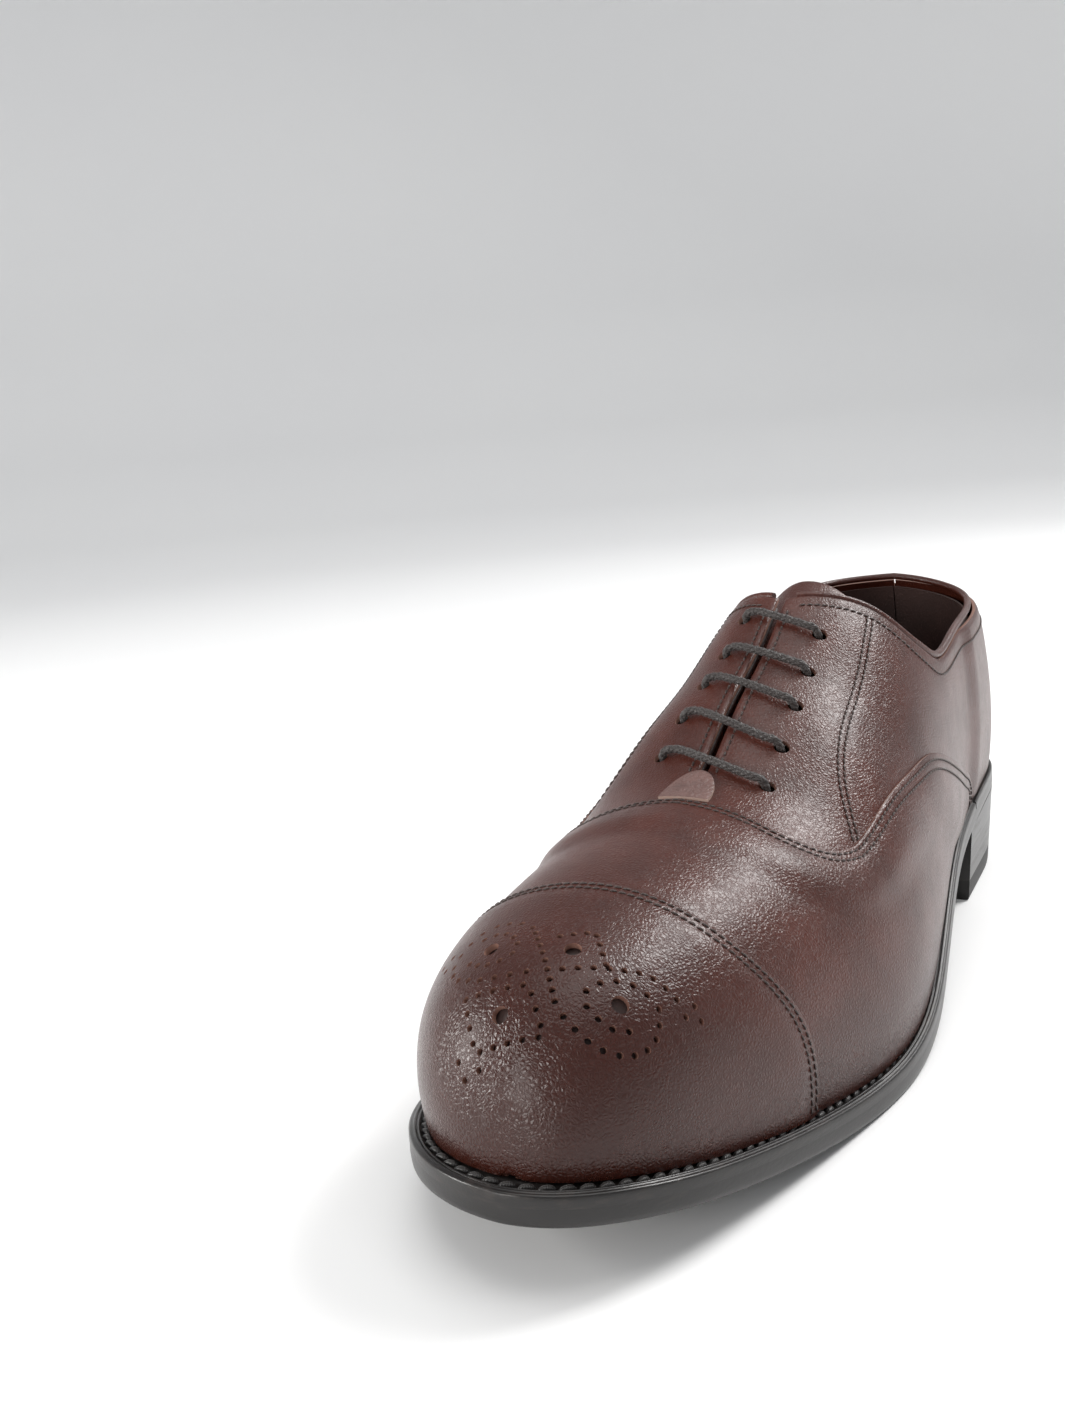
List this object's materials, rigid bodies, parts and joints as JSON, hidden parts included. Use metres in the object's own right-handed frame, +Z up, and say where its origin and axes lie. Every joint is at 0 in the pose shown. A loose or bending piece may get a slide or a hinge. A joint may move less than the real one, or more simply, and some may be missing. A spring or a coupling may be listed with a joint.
{
  "type": "cap-toe oxford shoe",
  "caption": "Left-foot cap-toe oxford in dark brown calf with closed lacing, a punched toe and a welted leather sole on a stacked heel.",
  "frame": {"origin": "centre of the shoe's bounding box, on the ground", "axes": "+X from heel to toe, +Y to the lateral side (the shoe is a left one), +Z up"},
  "size_m": [0.3038, 0.0986, 0.1073],
  "materials": {
    "calf": "semi-gloss burgundy brown calf, fine grain",
    "edge_calf": "dyed cut edge",
    "lining": "matt dark brown lining leather",
    "sole": "waxed black-brown edge",
    "tread": "oak-tanned sole leather",
    "rubber": "matt",
    "insole": "natural vegetable-tanned",
    "cork": "granulated cork",
    "steel": "plain",
    "brass": "lacquered",
    "cord": "waxed braided cotton",
    "thread": "waxed linen thread"
  },
  "bodies": {
    "shoe": {"outsole": "sole", "welt": "sole", "heel_rand": "sole", "insole": "insole", "sock_liner": "lining", "cork_filler": "cork", "shank": "steel", "heel_top_piece": "rubber", "heel_lift_1": "sole", "heel_lift_2": "sole", "heel_lift_3": "sole", "vamp": "calf", "vamp_lining": "lining", "quarter_lateral": "calf", "quarter_lining_lateral": "lining", "quarter_medial": "calf", "quarter_lining_medial": "lining", "heel_counter": "insole", "back_strip": "calf", "throat_tab": "calf", "collar_binding": "calf", "lace": "cord", "eyelet_lateral_1": "brass", "eyelet_lateral_2": "brass", "eyelet_lateral_3": "brass", "eyelet_lateral_4": "brass", "eyelet_lateral_5": "brass", "eyelet_medial_1": "brass", "eyelet_medial_2": "brass", "eyelet_medial_3": "brass", "eyelet_medial_4": "brass", "eyelet_medial_5": "brass"},
    "toe": {"toe_cap": "calf", "toe_puff": "insole"},
    "tongue_flap": {"tongue": "calf"}
  },
  "joints": [
    {"name": "toe_flex", "type": "hinge", "parent": "shoe", "child": "toe", "pos_m": [0.0565, 0, 0.011], "axis": [0, -1, 0], "range_deg": [0, 30], "stiffness_Nm_per_rad": 6, "deforming": ["outsole", "welt", "insole", "sock_liner", "cork_filler", "vamp", "vamp_lining", "quarter_lateral", "quarter_medial"]},
    {"name": "tongue_flex", "type": "hinge", "parent": "shoe", "child": "tongue_flap", "pos_m": [0.0545, 0, 0.0605], "axis": [0, -1, 0], "range_deg": [0, 12], "stiffness_Nm_per_rad": 0.6}
  ]
}
